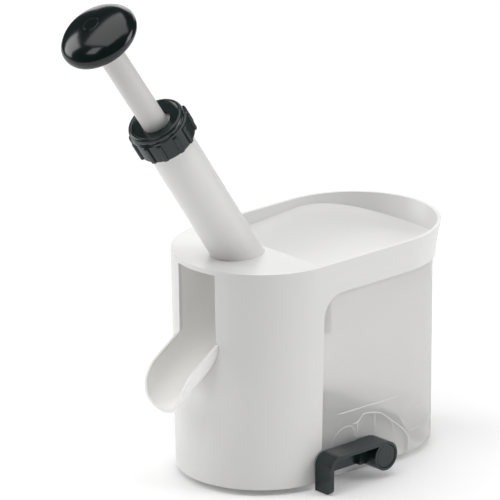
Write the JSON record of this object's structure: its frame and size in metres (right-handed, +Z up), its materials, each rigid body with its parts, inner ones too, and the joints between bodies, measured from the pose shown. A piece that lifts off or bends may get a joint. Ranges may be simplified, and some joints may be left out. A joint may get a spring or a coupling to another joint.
{
  "type": "cherry pitter with lever",
  "caption": "Oval casing with a hopper, a slanted spring plunger with knob, an outlet trough, a clear stone container and a suction base with lever.",
  "frame": {"origin": "middle of the overall footprint, on the table the feet stand on", "axes": "+Z up, +X along the oval casing towards the hopper's round end, -X towards the outlet trough, lever on the -Y side"},
  "size_m": [0.2422, 0.1052, 0.2745],
  "materials": {
    "casing_white": "smooth white injection-moulded plastic, semi-gloss",
    "rod_white": "smooth white plastic, semi-gloss",
    "inner_plastic": "natural white acetal, matte",
    "black_gloss": "glossy black plastic",
    "black_satin": "satin black plastic",
    "frosted_clear": "frosted translucent plastic",
    "rubber_dark": "soft dark rubber",
    "stainless": "brushed stainless steel",
    "spring_steel": "drawn stainless spring wire"
  },
  "bodies": {
    "base": {"stone_container": "frosted_clear", "suction_vault": "frosted_clear", "shaft_bush": "inner_plastic", "rubber_feet": "rubber_dark", "shaft_bracket": "inner_plastic", "suction_cup": "rubber_dark"},
    "casing": {"housing_shell": "casing_white", "hopper_floor": "casing_white", "exit_chute": "casing_white", "cherry_seat": "inner_plastic", "seat_seal": "rubber_dark", "stone_duct": "casing_white", "guide_tube": "casing_white", "stripper": "inner_plastic", "lower_spring_seat": "inner_plastic", "guide_bush": "inner_plastic", "locating_tabs": "casing_white", "casing_feet": "rubber_dark", "return_spring": "spring_steel"},
    "plunger": {"plunger_rod": "rod_white", "stop_ring": "stainless", "knob": "black_gloss", "knob_cap": "black_gloss", "knob_screw": "stainless", "pin_carrier": "inner_plastic", "pitting_pin": "stainless", "pin_dowel": "stainless"},
    "collar": {"screw_collar": "black_satin", "collar_washer": "rubber_dark"},
    "lever": {"lever_arm": "black_satin", "lever_cap": "black_satin", "lever_screw": "stainless", "lever_shaft": "stainless", "lift_cam": "inner_plastic"},
    "cup_lifter": {"cup_yoke": "inner_plastic"}
  },
  "joints": [
    {"name": "casing_lift", "type": "slide", "parent": "base", "child": "casing", "axis": [0, 0, 1], "range_m": [0, 0.12]},
    {"name": "plunger_push", "type": "slide", "parent": "casing", "child": "plunger", "axis": [0.5693, 0, -0.8221], "range_m": [0, 0.045], "stiffness_N_per_m": 150, "springref_m": -0.02, "deforming": ["return_spring"]},
    {"name": "collar_turn", "type": "hinge", "parent": "casing", "child": "collar", "pos_m": [-0.0617, 0.0056, 0.20161], "axis": [-0.5563, 0, 0.831], "range_deg": [0, 60]},
    {"name": "lever_swing", "type": "hinge", "parent": "base", "child": "lever", "pos_m": [0.04365, -0.0444, 0.0126], "axis": [0, 1, 0], "range_deg": [0, 90]},
    {"name": "cup_lift", "type": "slide", "parent": "base", "child": "cup_lifter", "axis": [0, 0, -1], "range_m": [0, 0.0016], "deforming": ["suction_cup"]}
  ],
  "couplings": [
    {"joint": "cup_lift", "follows": "lever_swing", "m_per_rad": 0.0010135}
  ]
}
